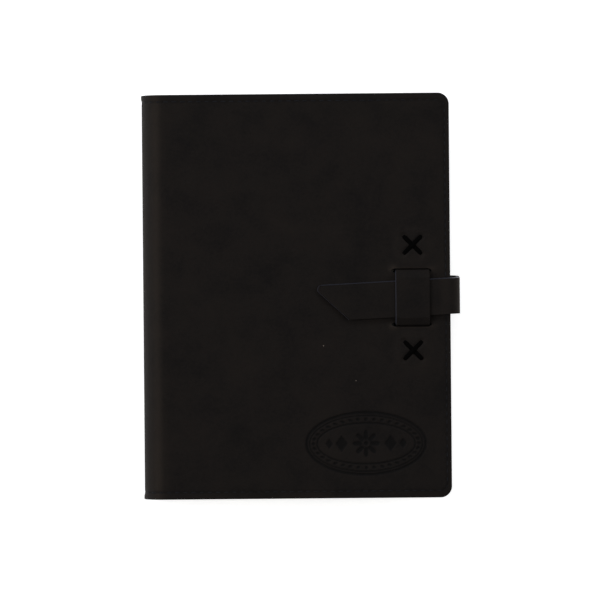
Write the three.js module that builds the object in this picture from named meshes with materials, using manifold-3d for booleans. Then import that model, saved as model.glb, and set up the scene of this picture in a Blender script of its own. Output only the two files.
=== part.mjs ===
// A refillable leather notebook cover with a strap closure, closed round a 6 x 8 inch hardback notebook.
// Millimetres. It lies on its back cover: +X from the spine to the fore-edge, +Y to the head, +Z out of
// the front cover. The origin is the middle of the footprint, on the surface it lies on.
import * as THREE from "three";
import { mergeVertices } from "three/addons/utils/BufferGeometryUtils.js";
import Module from "manifold-3d";

const wasm = await Module();
wasm.setup();

// ---- driving dimensions ----
const COVER_WIDTH = 162; // spine to fore-edge
const COVER_HEIGHT = 213; // head to foot
const CORNER_RADIUS = 6;
const LAYER_GAP = 0.1; // air between two layers that touch

const LEATHER = 1.6;
const STIFFENER = 0.8;
const LINING = 0.4;
const BOARD = 1.6; // the notebook's own boards
const POCKET = 0.8;
const PAGES = 10.6;

const HEM_INSET = 3.7; // stitch line to the head and foot edges
const HEM_FORE_INSET = 2.4; // and to the fore-edge
const HEM_CORNER = 3.6; // radius of the stitch line at a corner
const HEM_THREAD = 0.7;
const HEM_GROOVE = 0.5; // depth that the thread is sunk
const TRIM = 0.8; // lining and pockets stop short of the edge

const NOTEBOOK_WIDTH = 152;
const NOTEBOOK_HEIGHT = 203.2;
const PAGE_SETBACK = 3;
const POCKET_WIDTH = 85;
const POCKET_HEM = 4.6;

const STRAP_WIDTH = 19.2;
const STRAP = 1.8; // thickness
const STRAP_TILT = THREE.MathUtils.degToRad(2.8);
const STRAP_OUT = 5.1; // how far the bend stands out from the fore-edge
const STRAP_RADIUS = 4.6; // outside of its bends
const STRAP_REACH = 70.4; // fore-edge to the tip
const STRAP_Y = -1.4; // its middle, where it passes the keeper
const TONGUE_LENGTH = 30; // the thinned ends that are sewn between leather and lining
const TONGUE = 0.8;

const KEEPER_INSET = 20; // middle of the keeper to the fore-edge
const KEEPER_Y = -1.2;
const KEEPER_WIDTH = 18;
const KEEPER = 1.3; // thickness
const KEEPER_SPAN = 28.2; // between the middles of its two legs
const KEEPER_TONGUE_END = 36; // from its middle to the end of each tongue
const SLIT_LENGTH = 20.4;
const SLIT_WIDTH = 1.9;

const CROSS_SIZE = 11;
const CROSS_OFFSET = 27.7; // middle of the keeper to the middle of each cross
const LACE_WIDTH = 2;
const LACE = 0.55; // thickness of the lace on the face
const LACE_BACK = 0.35; // and where it runs behind
const LACE_LEG = 1.2;
const LACE_ROOM = 0.1;

// ---- sizes that follow ----
const STACK = [LEATHER, STIFFENER, LINING, BOARD, POCKET]; // from the outside in
const DEPTH = STACK.map((_, i) => STACK.slice(0, i).reduce((sum, t) => sum + t + LAYER_GAP, 0));
const [LEATHER_IN, STIFFENER_IN, LINING_IN, BOARD_IN, POCKET_IN] = DEPTH; // outer face of each layer
const PAGES_IN = POCKET_IN + POCKET + LAYER_GAP;
const THICKNESS = 2 * PAGES_IN + PAGES;
const SPINE_RADIUS = THICKNESS / 2;
const EDGE = COVER_HEIGHT / 2;
const EIGHTH = Math.PI / 4;
const ROLL_GAP = 0.012; // radians left between the spine and each cover
const ARC_STEPS = 7;

const STRAP_BOTTOM = LEATHER + LAYER_GAP + TONGUE / 2 - STRAP / 2;
const STRAP_TOP = THICKNESS + 0.15 + STRAP;
const STRAP_BEND_RADIUS = STRAP_RADIUS - STRAP / 2; // at mid thickness
const STRAP_QUARTER = (STRAP_BEND_RADIUS * Math.PI) / 2;
const STRAP_START_X = COVER_WIDTH + STRAP_OUT - STRAP_RADIUS;
const STRAP_UPRIGHT = STRAP_TOP - STRAP_BOTTOM - 2 * STRAP_RADIUS;
const STRAP_FLAT_START = 2 * STRAP_QUARTER + STRAP_UPRIGHT;
const STRAP_LENGTH = STRAP_FLAT_START + STRAP_REACH + STRAP_START_X - COVER_WIDTH;
const KEEPER_X = COVER_WIDTH - KEEPER_INSET;
const KEEPER_UNDER = STRAP_TOP + 0.15;
const TIP_ANGLE = THREE.MathUtils.degToRad(41);
const TIP_RADIUS = 2.4;
const TALL = 4 * THICKNESS; // reaches past everything

// ---- materials ----
const material = (color, roughness) => new THREE.MeshStandardMaterial({ color, roughness, metalness: 0 });
const blackLeather = material(0x1a1816, 0.62);
const blackLace = material(0x080707, 0.8);
const blackThread = material(0x141416, 0.75);
const liningSuede = material(0x24211f, 0.9);
const greyBoard = material(0x6f6a62, 0.95);
const notebookCloth = material(0x1d2126, 0.8);
const creamPaper = material(0xece4d0, 0.9);

// ---- solids ----
// A closed geometry as a manifold solid, for cutting and joining.
function solid(geometry) {
  const bare = geometry.clone();
  bare.deleteAttribute("normal");
  bare.deleteAttribute("uv");
  const merged = mergeVertices(bare, 1e-4);
  return new wasm.Manifold(
    new wasm.Mesh({
      numProp: 3,
      vertProperties: merged.attributes.position.array,
      triVerts: new Uint32Array(merged.index.array),
    }),
  );
}

// A manifold solid as a geometry.
function geometryOf(shape) {
  const mesh = shape.getMesh();
  return new THREE.BufferGeometry()
    .setAttribute("position", new THREE.BufferAttribute(mesh.vertProperties, 3))
    .setIndex(new THREE.BufferAttribute(mesh.triVerts, 1));
}

// A box from its low corner to its high corner.
function block(low, high) {
  const size = high.map((value, i) => value - low[i]);
  const middle = high.map((value, i) => (value + low[i]) / 2);
  return solid(new THREE.BoxGeometry(...size).translate(...middle));
}

// An outline in X and Y, raised from low to high in Z.
function plate(outline, low, high) {
  const depth = high - low;
  return solid(
    new THREE.ExtrudeGeometry(outline, { depth, bevelEnabled: false, curveSegments: ARC_STEPS }).translate(0, 0, low),
  );
}

// An outline in X and Z, swept along Y from low to high.
function sweep(outline, low, high) {
  const depth = high - low;
  return solid(
    new THREE.ExtrudeGeometry(outline, { depth, bevelEnabled: false, curveSegments: ARC_STEPS })
      .rotateX(Math.PI / 2)
      .translate(0, high, 0),
  );
}

// The same solid for the front cover: a back-cover solid turned over about the middle of the thickness.
const toFront = (shape) => shape.mirror([0, 0, 1]).translate([0, 0, THICKNESS]);

// A rectangle in plan whose two fore-edge corners are round.
function coverOutline(left, right, halfHeight, radius) {
  const outline = new THREE.Shape();
  outline.moveTo(left, -halfHeight);
  outline.lineTo(right - radius, -halfHeight);
  outline.absarc(right - radius, radius - halfHeight, radius, -Math.PI / 2, 0, false);
  outline.lineTo(right, halfHeight - radius);
  outline.absarc(right - radius, halfHeight - radius, radius, 0, Math.PI / 2, false);
  outline.lineTo(left, halfHeight);
  return outline;
}

// A flat back-cover layer at a depth in from the outside, which rolls an eighth turn up the spine.
function rolledLayer(depth, thickness, inset) {
  const outer = SPINE_RADIUS - depth;
  const inner = outer - thickness;
  const down = -Math.PI / 2;
  const rollEnd = down - EIGHTH + ROLL_GAP;
  const section = new THREE.Shape();
  section.moveTo(COVER_WIDTH - inset, depth);
  section.lineTo(SPINE_RADIUS, depth);
  section.absarc(SPINE_RADIUS, SPINE_RADIUS, outer, down, rollEnd, true);
  section.absarc(SPINE_RADIUS, SPINE_RADIUS, inner, rollEnd, down, false);
  section.lineTo(COVER_WIDTH - inset, depth + thickness);
  const trimmed = coverOutline(-TALL, COVER_WIDTH - inset, EDGE - inset, CORNER_RADIUS - inset);
  return sweep(section, -EDGE, EDGE).intersect(plate(trimmed, -TALL, TALL));
}

// The quarter of a layer that wraps the spine.
function spineLayer(depth, thickness, low, high) {
  const outer = SPINE_RADIUS - depth;
  const start = Math.PI - EIGHTH + ROLL_GAP;
  const end = Math.PI + EIGHTH - ROLL_GAP;
  const section = new THREE.Shape();
  section.absarc(SPINE_RADIUS, SPINE_RADIUS, outer, start, end, false);
  section.absarc(SPINE_RADIUS, SPINE_RADIUS, outer - thickness, end, start, true);
  return sweep(section, low, high);
}

// The hem's stitch line as a band of the given width, sunk into the back cover from its outer face.
function hemBand(width, from, to) {
  const line = (offset) => {
    const fore = COVER_WIDTH - HEM_FORE_INSET - offset;
    return coverOutline(-TALL, fore, EDGE - HEM_INSET - offset, HEM_CORNER - offset);
  };
  const ring = plate(line(-width / 2), -TALL, TALL).subtract(plate(line(width / 2), -2 * TALL, 2 * TALL));
  return rolledLayer(from, to - from, 0).intersect(ring);
}

const hemGroove = () => hemBand(HEM_THREAD + 0.3, -0.5, HEM_GROOVE);
const hemThread = () => hemBand(HEM_THREAD, 0.05, HEM_GROOVE - 0.05);

// ---- the three leather panels and their linings ----
function backLeather() {
  return rolledLayer(LEATHER_IN, LEATHER, 0).subtract(hemGroove());
}

function frontLeather() {
  const slit = (side) => {
    const y = KEEPER_Y + (side * KEEPER_SPAN) / 2;
    const low = [KEEPER_X - SLIT_LENGTH / 2, y - SLIT_WIDTH / 2, THICKNESS / 2];
    return block(low, [KEEPER_X + SLIT_LENGTH / 2, y + SLIT_WIDTH / 2, TALL]);
  };
  return toFront(backLeather()).subtract(slit(-1)).subtract(slit(1));
}

function spineLeather() {
  const room = HEM_THREAD / 2 + 0.15;
  return [-1, 1].reduce((leather, side) => {
    const y = side * (EDGE - HEM_INSET);
    return leather.subtract(spineLayer(-0.5, HEM_GROOVE + 0.5, y - room, y + room));
  }, spineLayer(LEATHER_IN, LEATHER, -EDGE, EDGE));
}

function spineThread(side) {
  const y = side * (EDGE - HEM_INSET);
  return spineLayer(0.05, HEM_GROOVE - 0.1, y - HEM_THREAD / 2, y + HEM_THREAD / 2);
}

const lining = () => rolledLayer(LINING_IN, LINING, TRIM);
const spineLining = () => spineLayer(LINING_IN, LINING, TRIM - EDGE, EDGE - TRIM);

// ---- stiffeners, with room for the strap's and the keeper's sewn tongues ----
const STIFFENER_INSET = 6;

function stiffener() {
  const inset = STIFFENER_INSET;
  const outline = coverOutline(SPINE_RADIUS + 2, COVER_WIDTH - inset, EDGE - inset, 2);
  return plate(outline, STIFFENER_IN, STIFFENER_IN + STIFFENER);
}

function backStiffener() {
  const half = STRAP_WIDTH / 2 + 3;
  const low = [COVER_WIDTH - TONGUE_LENGTH - 2, STRAP_Y - half, -TALL];
  return stiffener().subtract(block(low, [TALL + COVER_WIDTH, STRAP_Y + half + 2, TALL]));
}

function frontStiffener() {
  const half = KEEPER_WIDTH / 2 + 1;
  return [-1, 1].reduce((sheet, side) => {
    const ends = [KEEPER_SPAN / 2 - 2, KEEPER_TONGUE_END + 1].map((reach) => KEEPER_Y + side * reach);
    const low = [KEEPER_X - half, Math.min(...ends), -TALL];
    return sheet.subtract(block(low, [KEEPER_X + half, Math.max(...ends), TALL]));
  }, toFront(stiffener()));
}

// ---- pockets: a panel hemmed to the lining on three sides and open to the spine ----
function pocket() {
  const left = COVER_WIDTH - TRIM - POCKET_WIDTH;
  const outside = coverOutline(left, COVER_WIDTH - TRIM, EDGE - TRIM, CORNER_RADIUS - TRIM);
  const inside = coverOutline(left - 1, COVER_WIDTH - POCKET_HEM, EDGE - POCKET_HEM, 1);
  const foot = BOARD_IN;
  const room = plate(inside, foot - 1, POCKET_IN);
  return plate(outside, foot, POCKET_IN + POCKET).subtract(room);
}

// ---- the notebook ----
const NOTEBOOK_SPINE = SPINE_RADIUS - BOARD_IN; // radius of its rounded back
const NOTEBOOK_LEFT = SPINE_RADIUS - NOTEBOOK_SPINE;

function notebookBoard() {
  const right = NOTEBOOK_LEFT + NOTEBOOK_WIDTH;
  const outline = coverOutline(SPINE_RADIUS, right, NOTEBOOK_HEIGHT / 2, 1.5);
  return plate(outline, BOARD_IN, BOARD_IN + BOARD);
}

const notebookSpine = () => spineLayer(BOARD_IN, 1, -NOTEBOOK_HEIGHT / 2, NOTEBOOK_HEIGHT / 2);

function pageBlock() {
  const half = PAGES / 2;
  const roundBack = Math.hypot(half, 2);
  const turn = Math.atan2(half, 2);
  const right = NOTEBOOK_LEFT + NOTEBOOK_WIDTH - PAGE_SETBACK;
  const section = new THREE.Shape();
  section.moveTo(right, SPINE_RADIUS - half);
  section.lineTo(right, SPINE_RADIUS + half);
  section.absarc(SPINE_RADIUS, SPINE_RADIUS, roundBack, Math.PI - turn, Math.PI + turn, false);
  const reach = NOTEBOOK_HEIGHT / 2 - PAGE_SETBACK;
  return sweep(section, -reach, reach);
}

// ---- cross-stitches: a lace X on the face, four legs, and two short runs behind ----
// The face of the leather is at z 0 and the lace goes down from it. room widens it into the holes it needs.
function crossStitch(proud, behind, room) {
  const arm = CROSS_SIZE * Math.SQRT2 - LACE_WIDTH;
  const bar = (length, width, low, high, angle, x) =>
    solid(
      new THREE.BoxGeometry(length + 2 * room, width + 2 * room, high - low + 2 * room)
        .translate(0, 0, (low + high) / 2)
        .rotateZ(angle)
        .translate(x, 0, 0),
    );
  const hole = arm / 2 / Math.SQRT2;
  const bottom = -behind;
  const legs = [-1, 1].flatMap((sx) =>
    [-1, 1].map((sy) =>
      solid(
        new THREE.CylinderGeometry(LACE_LEG / 2 + room, LACE_LEG / 2 + room, behind - 0.02, 8)
          .rotateX(Math.PI / 2)
          .translate(sx * hole, sy * hole, bottom / 2),
      ),
    ),
  );
  const faces = [-1, 1].map((turn) => bar(arm, LACE_WIDTH, proud - LACE, proud, turn * EIGHTH, 0));
  const backs = [-1, 1].map((side) =>
    bar(2 * hole + LACE_LEG, LACE_LEG, bottom, bottom + LACE_BACK, Math.PI / 2, side * hole),
  );
  return [...faces, ...backs, ...legs].reduce((all, piece) => all.add(piece));
}

const FRONT_CROSS_DEPTH = LEATHER + LAYER_GAP + TONGUE;

function frontCross(side, room) {
  return crossStitch(LACE - 0.2, FRONT_CROSS_DEPTH, room).translate([
    KEEPER_X + 0.2,
    KEEPER_Y + side * CROSS_OFFSET,
    THICKNESS,
  ]);
}

function backCross(room) {
  const flushed = crossStitch(-0.02, FRONT_CROSS_DEPTH, room).mirror([0, 0, 1]);
  return flushed.translate([KEEPER_X, STRAP_Y + shiftAt(0) + 1, 0]);
}

// ---- the keeper: a band over the strap that passes down through two slits ----
function keeper() {
  const reach = KEEPER_SPAN / 2;
  const half = KEEPER / 2;
  const top = KEEPER_UNDER + KEEPER;
  const tongueTop = THICKNESS - LEATHER - LAYER_GAP;
  const tongueFoot = tongueTop - TONGUE;
  const section = new THREE.Shape();
  const round = 1.2;
  section.moveTo(-KEEPER_TONGUE_END, tongueFoot);
  section.lineTo(-reach + half, tongueFoot);
  section.lineTo(-reach + half, KEEPER_UNDER);
  section.lineTo(reach - half, KEEPER_UNDER);
  section.lineTo(reach - half, tongueFoot);
  section.lineTo(KEEPER_TONGUE_END, tongueFoot);
  section.lineTo(KEEPER_TONGUE_END, tongueTop);
  section.lineTo(reach + half, tongueTop);
  section.lineTo(reach + half, top - round);
  section.absarc(reach + half - round, top - round, round, 0, Math.PI / 2, false);
  section.absarc(-reach - half + round, top - round, round, Math.PI / 2, Math.PI, false);
  section.lineTo(-reach - half, tongueTop);
  section.lineTo(-KEEPER_TONGUE_END, tongueTop);
  const across = sweep(section, -KEEPER_WIDTH / 2, KEEPER_WIDTH / 2);
  return across.rotate([0, 0, 90]).translate([KEEPER_X, KEEPER_Y, 0]);
}

// ---- the strap ----
// Its flat pattern runs a length s from the fore-edge of the back cover to the tip, and tilts as it goes.
const shiftAt = (s) => Math.tan(STRAP_TILT) * (STRAP_FLAT_START + KEEPER_INSET - s);

// The point at s on the strap's middle line, and its direction there, as it wraps the fore-edge.
function strapPath(s) {
  const lowCentre = STRAP_BOTTOM + STRAP_RADIUS;
  const highCentre = lowCentre + STRAP_UPRIGHT;
  const out = STRAP_START_X + STRAP_BEND_RADIUS;
  if (s <= STRAP_QUARTER) {
    const turn = s / STRAP_BEND_RADIUS;
    const x = STRAP_START_X + STRAP_BEND_RADIUS * Math.sin(turn);
    return { x, z: lowCentre - STRAP_BEND_RADIUS * Math.cos(turn), turn };
  }
  if (s <= STRAP_QUARTER + STRAP_UPRIGHT) {
    return { x: out, z: lowCentre + s - STRAP_QUARTER, turn: Math.PI / 2 };
  }
  const past = s - STRAP_QUARTER - STRAP_UPRIGHT;
  if (past <= STRAP_QUARTER) {
    const turn = Math.PI / 2 + past / STRAP_BEND_RADIUS;
    const x = STRAP_START_X + STRAP_BEND_RADIUS * Math.sin(turn);
    return { x, z: highCentre - STRAP_BEND_RADIUS * Math.cos(turn), turn };
  }
  return { x: STRAP_START_X + STRAP_QUARTER - past, z: highCentre + STRAP_BEND_RADIUS, turn: Math.PI };
}

// A length of the strap from s to s, bent along its path.
function strapLength(from, to) {
  const steps = Math.max(2, Math.ceil((to - from) / 0.9));
  const strip = new THREE.BoxGeometry(to - from, STRAP_WIDTH, STRAP, steps, 1, 1);
  const position = strip.attributes.position;
  for (let i = 0; i < position.count; i += 1) {
    const s = (from + to) / 2 + position.getX(i);
    const { x, z, turn } = strapPath(s);
    const out = -position.getZ(i);
    const y = position.getY(i) + STRAP_Y + shiftAt(s);
    position.setXYZ(i, x + out * Math.sin(turn), y, z - out * Math.cos(turn));
  }
  return solid(strip);
}

const STRAP_LOW_SPLIT = STRAP_QUARTER / 2;
const STRAP_HIGH_SPLIT = STRAP_FLAT_START - STRAP_QUARTER / 2;
const SPLIT_GAP = 0.1;

function strapAnchor() {
  const thin = LEATHER + LAYER_GAP;
  const tongue = new THREE.Shape();
  const [near, far] = [COVER_WIDTH + STRAP_OUT - STRAP_RADIUS + 0.4, COVER_WIDTH - TONGUE_LENGTH];
  const half = STRAP_WIDTH / 2;
  const lineAt = (x) => STRAP_Y + shiftAt(x - STRAP_START_X);
  tongue.moveTo(far, lineAt(far) - half);
  tongue.lineTo(near, lineAt(near) - half);
  tongue.lineTo(near, lineAt(near) + half);
  tongue.lineTo(far, lineAt(far) + half);
  const bent = strapLength(0, STRAP_LOW_SPLIT - SPLIT_GAP);
  return bent.add(plate(tongue, thin, thin + TONGUE)).subtract(backCross(LACE_ROOM));
}

function strapTail() {
  const start = STRAP_HIGH_SPLIT + SPLIT_GAP;
  const band = strapLength(start, STRAP_LENGTH);
  const half = STRAP_WIDTH / 2;
  const turned = TIP_ANGLE + STRAP_TILT;
  // Outline along the strap: u to the fore-edge from the tip, v across. The upper corner is round.
  const tip = new THREE.Shape();
  const centre = [TIP_RADIUS * 1.15, half - TIP_RADIUS];
  const cut = Math.PI / 2 + turned;
  const leave = [centre[0] + TIP_RADIUS * Math.sin(-turned), centre[1] - TIP_RADIUS * Math.cos(turned)];
  const run = (leave[1] + half + 2) / Math.sin(turned);
  tip.moveTo(leave[0] + run * Math.cos(turned), leave[1] - run * Math.sin(turned));
  tip.lineTo(STRAP_LENGTH, -half - 2);
  tip.lineTo(STRAP_LENGTH, half);
  tip.absarc(centre[0], centre[1], TIP_RADIUS, Math.PI / 2, Math.PI / 2 + cut, false);
  const mask = plate(tip, 0, TALL)
    .rotate([0, 0, THREE.MathUtils.radToDeg(STRAP_TILT)])
    .translate([COVER_WIDTH - STRAP_REACH, STRAP_Y + shiftAt(STRAP_LENGTH), 0]);
  return band.intersect(mask);
}

// ---- the assembly ----
const notebookCover = new THREE.Group();
notebookCover.position.set(-(COVER_WIDTH + STRAP_OUT) / 2, 0, 0);

function place(name, shape, finish) {
  const mesh = new THREE.Mesh(geometryOf(shape), finish);
  mesh.name = name;
  notebookCover.add(mesh);
}

const crossHoles = [-1, 1].map((side) => frontCross(side, LACE_ROOM));
const cutHoles = (shape) => crossHoles.reduce((cut, hole) => cut.subtract(hole), shape);

place("back_cover_leather", backLeather().subtract(backCross(LACE_ROOM)), blackLeather);
place("back_stiffener", backStiffener(), greyBoard);
place("back_lining", lining(), liningSuede);
place("back_pocket", pocket(), blackLeather);
place("back_stitching", hemThread(), blackThread);
place("back_cross_stitch", backCross(0), blackLace);
place("notebook_back_board", notebookBoard(), notebookCloth);
place("notebook_pages", pageBlock(), creamPaper);

place("spine_leather", spineLeather(), blackLeather);
place("spine_lining", spineLining(), liningSuede);
place("spine_head_stitching", spineThread(1), blackThread);
place("spine_foot_stitching", spineThread(-1), blackThread);
place("notebook_spine", notebookSpine(), notebookCloth);

place("front_cover_leather", cutHoles(frontLeather()), blackLeather);
place("front_stiffener", frontStiffener(), greyBoard);
place("front_lining", toFront(lining()), liningSuede);
place("front_pocket", toFront(pocket()), blackLeather);
place("front_stitching", toFront(hemThread()), blackThread);
place("strap_keeper", cutHoles(keeper()), blackLeather);
place("upper_cross_stitch", frontCross(1, 0), blackLace);
place("lower_cross_stitch", frontCross(-1, 0), blackLace);
place("notebook_front_board", toFront(notebookBoard()), notebookCloth);

place("strap_anchor", strapAnchor(), blackLeather);
place("strap_bend", strapLength(STRAP_LOW_SPLIT + SPLIT_GAP, STRAP_HIGH_SPLIT - SPLIT_GAP), blackLeather);
place("strap_tail", strapTail(), blackLeather);

export default notebookCover;
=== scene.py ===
"""A black leather notebook cover with a strap closure, closed round a hardback notebook.

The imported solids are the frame. Each operator makes one piece, or a group of like pieces, round them.
"""

import math
import random

import bmesh
import bpy
from bpy.props import FloatProperty, FloatVectorProperty, PointerProperty
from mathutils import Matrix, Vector


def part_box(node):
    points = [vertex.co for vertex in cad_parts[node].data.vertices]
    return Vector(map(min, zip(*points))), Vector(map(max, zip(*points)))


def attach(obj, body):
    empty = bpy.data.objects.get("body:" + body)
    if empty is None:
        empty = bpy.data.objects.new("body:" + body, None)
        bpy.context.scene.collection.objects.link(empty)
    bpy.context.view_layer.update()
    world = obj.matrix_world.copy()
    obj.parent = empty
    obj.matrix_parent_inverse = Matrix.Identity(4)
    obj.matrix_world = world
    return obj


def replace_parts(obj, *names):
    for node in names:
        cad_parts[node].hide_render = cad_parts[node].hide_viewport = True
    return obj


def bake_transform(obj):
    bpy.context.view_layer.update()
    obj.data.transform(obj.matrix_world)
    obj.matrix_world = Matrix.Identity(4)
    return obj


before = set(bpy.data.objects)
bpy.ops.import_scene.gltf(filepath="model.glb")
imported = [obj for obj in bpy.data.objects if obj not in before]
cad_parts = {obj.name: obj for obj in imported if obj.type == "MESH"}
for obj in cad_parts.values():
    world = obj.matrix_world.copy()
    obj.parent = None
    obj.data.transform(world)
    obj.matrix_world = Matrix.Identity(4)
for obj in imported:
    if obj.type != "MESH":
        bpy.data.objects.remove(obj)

bl_info = {
    "name": "Leather notebook cover",
    "version": (1, 0, 0),
    "blender": (4, 5, 0),
    "location": "View3D > Sidebar > Notebook",
    "description": "Builds the leather, stitching, strap and notebook of a strap-closed notebook cover",
    "category": "Object",
}

MM = 0.001
UP = Vector((0, 0, 1))

# ---- places and sizes that the frame gives ----
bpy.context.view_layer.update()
FRONT_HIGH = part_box("front_cover_leather")[1]
SPINE_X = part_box("spine_leather")[0].x
KEEPER_LOW, KEEPER_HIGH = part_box("strap_keeper")
KEEPER_MIDDLE = (KEEPER_LOW + KEEPER_HIGH) / 2
PAGES_LOW, PAGES_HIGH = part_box("notebook_pages")
BOARD_LOW, BOARD_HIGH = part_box("notebook_back_board")
STRAP_OUT_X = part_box("strap_bend")[1].x
STRAP_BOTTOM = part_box("strap_anchor")[0].z
STRAP_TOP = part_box("strap_tail")[1].z
STRAP_TIP_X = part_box("strap_tail")[0].x


def middle_of(node):
    """The middle of a frame node's box."""
    low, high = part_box(node)
    return (low + high) / 2


CROSSES = [middle_of(name) for name in ("upper_cross_stitch", "lower_cross_stitch")]
BACK_CROSS = middle_of("back_cross_stitch")

TOP = FRONT_HIGH.z  # the front cover's outer face
ROLL = TOP / 2  # radius of the rounded spine
QUARTER = ROLL * math.pi / 2
FLAT_X = SPINE_X + ROLL  # where the roll meets the flat covers
FORE = FRONT_HIGH.x - FLAT_X  # width of the flat part
HALF_HEIGHT = FRONT_HIGH.y
SPINE_CLOTH = 1.0 * MM  # the notebook's spine, thinner than its boards
BACK_LACE_SUNK = 0.95 * MM  # how far the back's lace lies in its hollow, clear of the table
LAYER_GAP = 0.05 * MM  # between the leather and the lining, at the rim
POCKET_GAP = 0.12 * MM  # under the pocket at the rim, both gaps together


# ---- sizes and finishes that a user would change ----
def length(name, description, millimetres):
    """A length property, with its default in millimetres."""
    default = millimetres * MM
    return FloatProperty(name=name, description=description, default=default, unit="LENGTH", precision=5)


def colour(name, description, red, green, blue):
    """A colour property."""
    return FloatVectorProperty(
        name=name, description=description, default=(red, green, blue), subtype="COLOR", size=3, min=0, max=1
    )


class CoverSizes(bpy.types.PropertyGroup):
    """Sizes of the cover's leather, hem and pockets"""

    leather: length("Leather", "Thickness of the cover leather", 1.6)
    corner: length("Corner", "Radius of the fore-edge corners", 6)
    edge_round: length("Edge", "Radius that a cut leather edge is rounded to", 0.38)
    hem_inset: length("Hem inset", "From the stitch line to the head and foot edges", 3.7)
    hem_fore_inset: length("Fore inset", "From the stitch line to the fore-edge", 2.4)
    hem_corner: length("Hem corner", "Radius of the stitch line at a corner", 3.6)
    hem_sink: length("Hem sink", "How far the stitches pull the leather down", 0.2)
    hem_flare: length("Hem flare", "How far the spine stands out past its end stitches", 0.32)
    stitch: length("Stitch", "Length of a stitch on the face", 3.0)
    stitch_gap: length("Stitch gap", "Leather between two stitches", 1.3)
    thread: length("Thread", "Thickness of the thread", 0.55)
    lining_depth: length("Lining depth", "From the outer face to the lining", 2.6)
    lining: length("Lining", "Thickness of the lining", 0.4)
    case_depth: length("Case depth", "From the outer face to the notebook's board", 3.1)
    pocket_depth: length("Pocket depth", "From the outer face to the pocket leather", 4.8)
    pocket: length("Pocket", "Thickness of the pocket leather", 0.8)
    pocket_width: length("Pocket width", "From the fore-edge to the pocket's open side", 85)
    trim: length("Trim", "How far lining and pockets stop short of the edge", 0.8)


class ClosureSizes(bpy.types.PropertyGroup):
    """Sizes of the strap, its keeper and the cross-stitches"""

    width: length("Strap width", "Width of the strap", 19.2)
    strap: length("Strap", "Thickness of the strap", 1.8)
    bend: length("Bend", "Outside radius of the strap's bends round the fore-edge", 4.6)
    tilt: FloatProperty(
        name="Tilt", description="How far the strap leans", default=math.radians(2.8), subtype="ANGLE"
    )
    strap_y: length("Strap height", "The strap's middle where it passes the keeper", -1.4)
    tongue: length("Tongue", "Thickness of the thinned ends under the leather", 0.8)
    tongue_length: length("Root", "Length of the strap's root under the leather", 30)
    tip_radius: length("Tip corner", "Radius of the strap's round corner", 2.4)
    tip_angle: FloatProperty(
        name="Tip angle", description="Slant of the strap's end", default=math.radians(43.8), subtype="ANGLE"
    )
    skive: length("Skive", "Slope of the cut edges that face the head and the spine", 0.48)
    keeper: length("Keeper", "Thickness of the keeper", 1.3)
    slit_span: length("Slit span", "From one slit to the other", 28.2)
    slit_length: length("Slit length", "Length of a slit", 20.4)
    slit_width: length("Slit width", "Width of a slit", 1.9)
    lace: length("Lace", "Width of the lace of a cross-stitch", 2.3)
    lace_thickness: length("Lace thickness", "Thickness of the lace", 0.65)
    cross: length("Cross", "Size of a cross-stitch", 11.7)


class OrnamentSizes(bpy.types.PropertyGroup):
    """Sizes of the pressed ornament on the front"""

    x: length("Across", "From the front's fore-edge back to the ornament's middle", 45)
    y: length("Height", "From the front's middle to the ornament's middle", -77.8)
    half_width: length("Half width", "Half the ornament's width", 32)
    half_height: length("Half height", "Half the ornament's height", 17)
    depth: length("Depth", "How deep the ornament is pressed", 0.32)


class CoverFinish(bpy.types.PropertyGroup):
    """Colours of the materials"""

    hide: colour("Hide", "Oiled black leather", 0.0092, 0.0075, 0.0069)
    # hide_light: the lighter tone of the leather's random mottle, and also the colour that the painted
    # highlights lighten the hide towards.
    hide_light: colour("Worn hide", "Leather where it is rubbed or stretched", 0.031, 0.0235, 0.0185)
    # hide_dark: the darker tone of the random mottle and of the pressed ornament, and also painted shade
    # along the stitch channel.
    hide_dark: colour("Pressed hide", "Leather that is pressed or shaded with oil", 0.0030, 0.0026, 0.0026)
    lint: colour("Lint", "Specks of lint on the leather", 0.32, 0.27, 0.22)
    # Edge paint: partly the paint's own colour and partly a painted highlight; it is made light and bluish
    # like the cool light that the cut edges catch.
    edge: colour("Edge paint", "Painted edges of the strap and the keeper", 0.05, 0.051, 0.068)
    cover_edge: colour("Cover edge", "Cut edges of the cover", 0.013, 0.0108, 0.0098)
    lace: colour("Lace", "Waxed lace of the cross-stitches", 0.0015, 0.0013, 0.0012)
    thread: colour("Thread", "Hem thread", 0.017, 0.017, 0.021)
    suede: colour("Suede", "Lining", 0.03, 0.027, 0.025)
    cloth: colour("Book cloth", "The notebook's case", 0.014, 0.018, 0.024)
    paper: colour("Paper", "Pages and endpapers", 0.80, 0.73, 0.58)
    board: colour("Board", "Stiffeners", 0.32, 0.29, 0.25)
    ruling: colour("Ruling", "Printed lines of the pages", 0.38, 0.44, 0.5)
    floor: colour("Floor", "The pale floor", 0.94, 0.94, 0.94)


# ---- curves and fields ----
def smooth(value, low, high):
    """0 below low, 1 above high, and an even slope at both ends."""
    t = min(max((value - low) / (high - low), 0.0), 1.0)
    return t * t * (3 - 2 * t)


def bell(distance, width):
    """1 at no distance, and falling off smoothly either way. At one width it is about a third."""
    return math.exp(-((distance / width) ** 2))


def ladder(start, *stretches):
    """Grid lines from start. Each stretch says where it ends and how far apart its lines are."""
    lines = [start]
    for end, step in stretches:
        count = max(1, round(abs(end - lines[-1]) / step))
        first = lines[-1]
        lines += [first + (end - first) * (i + 1) / count for i in range(count)]
    return lines


def from_edge(edge, *insets):
    """Lines at these distances in from an edge, in millimetres, the farthest first."""
    return [edge - inset * MM for inset in sorted(insets, reverse=True)]


def box_depth(along, y, inset_fore, inset_head, radius):
    """How far a point of the cover lies inside a round-cornered outline, inset from its edges."""
    across = along - (FORE - inset_fore - radius)
    up = abs(y) - (HALF_HEIGHT - inset_head - radius)
    outside = math.hypot(max(across, 0), max(up, 0))
    return radius - outside - min(max(across, up), 0)


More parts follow.
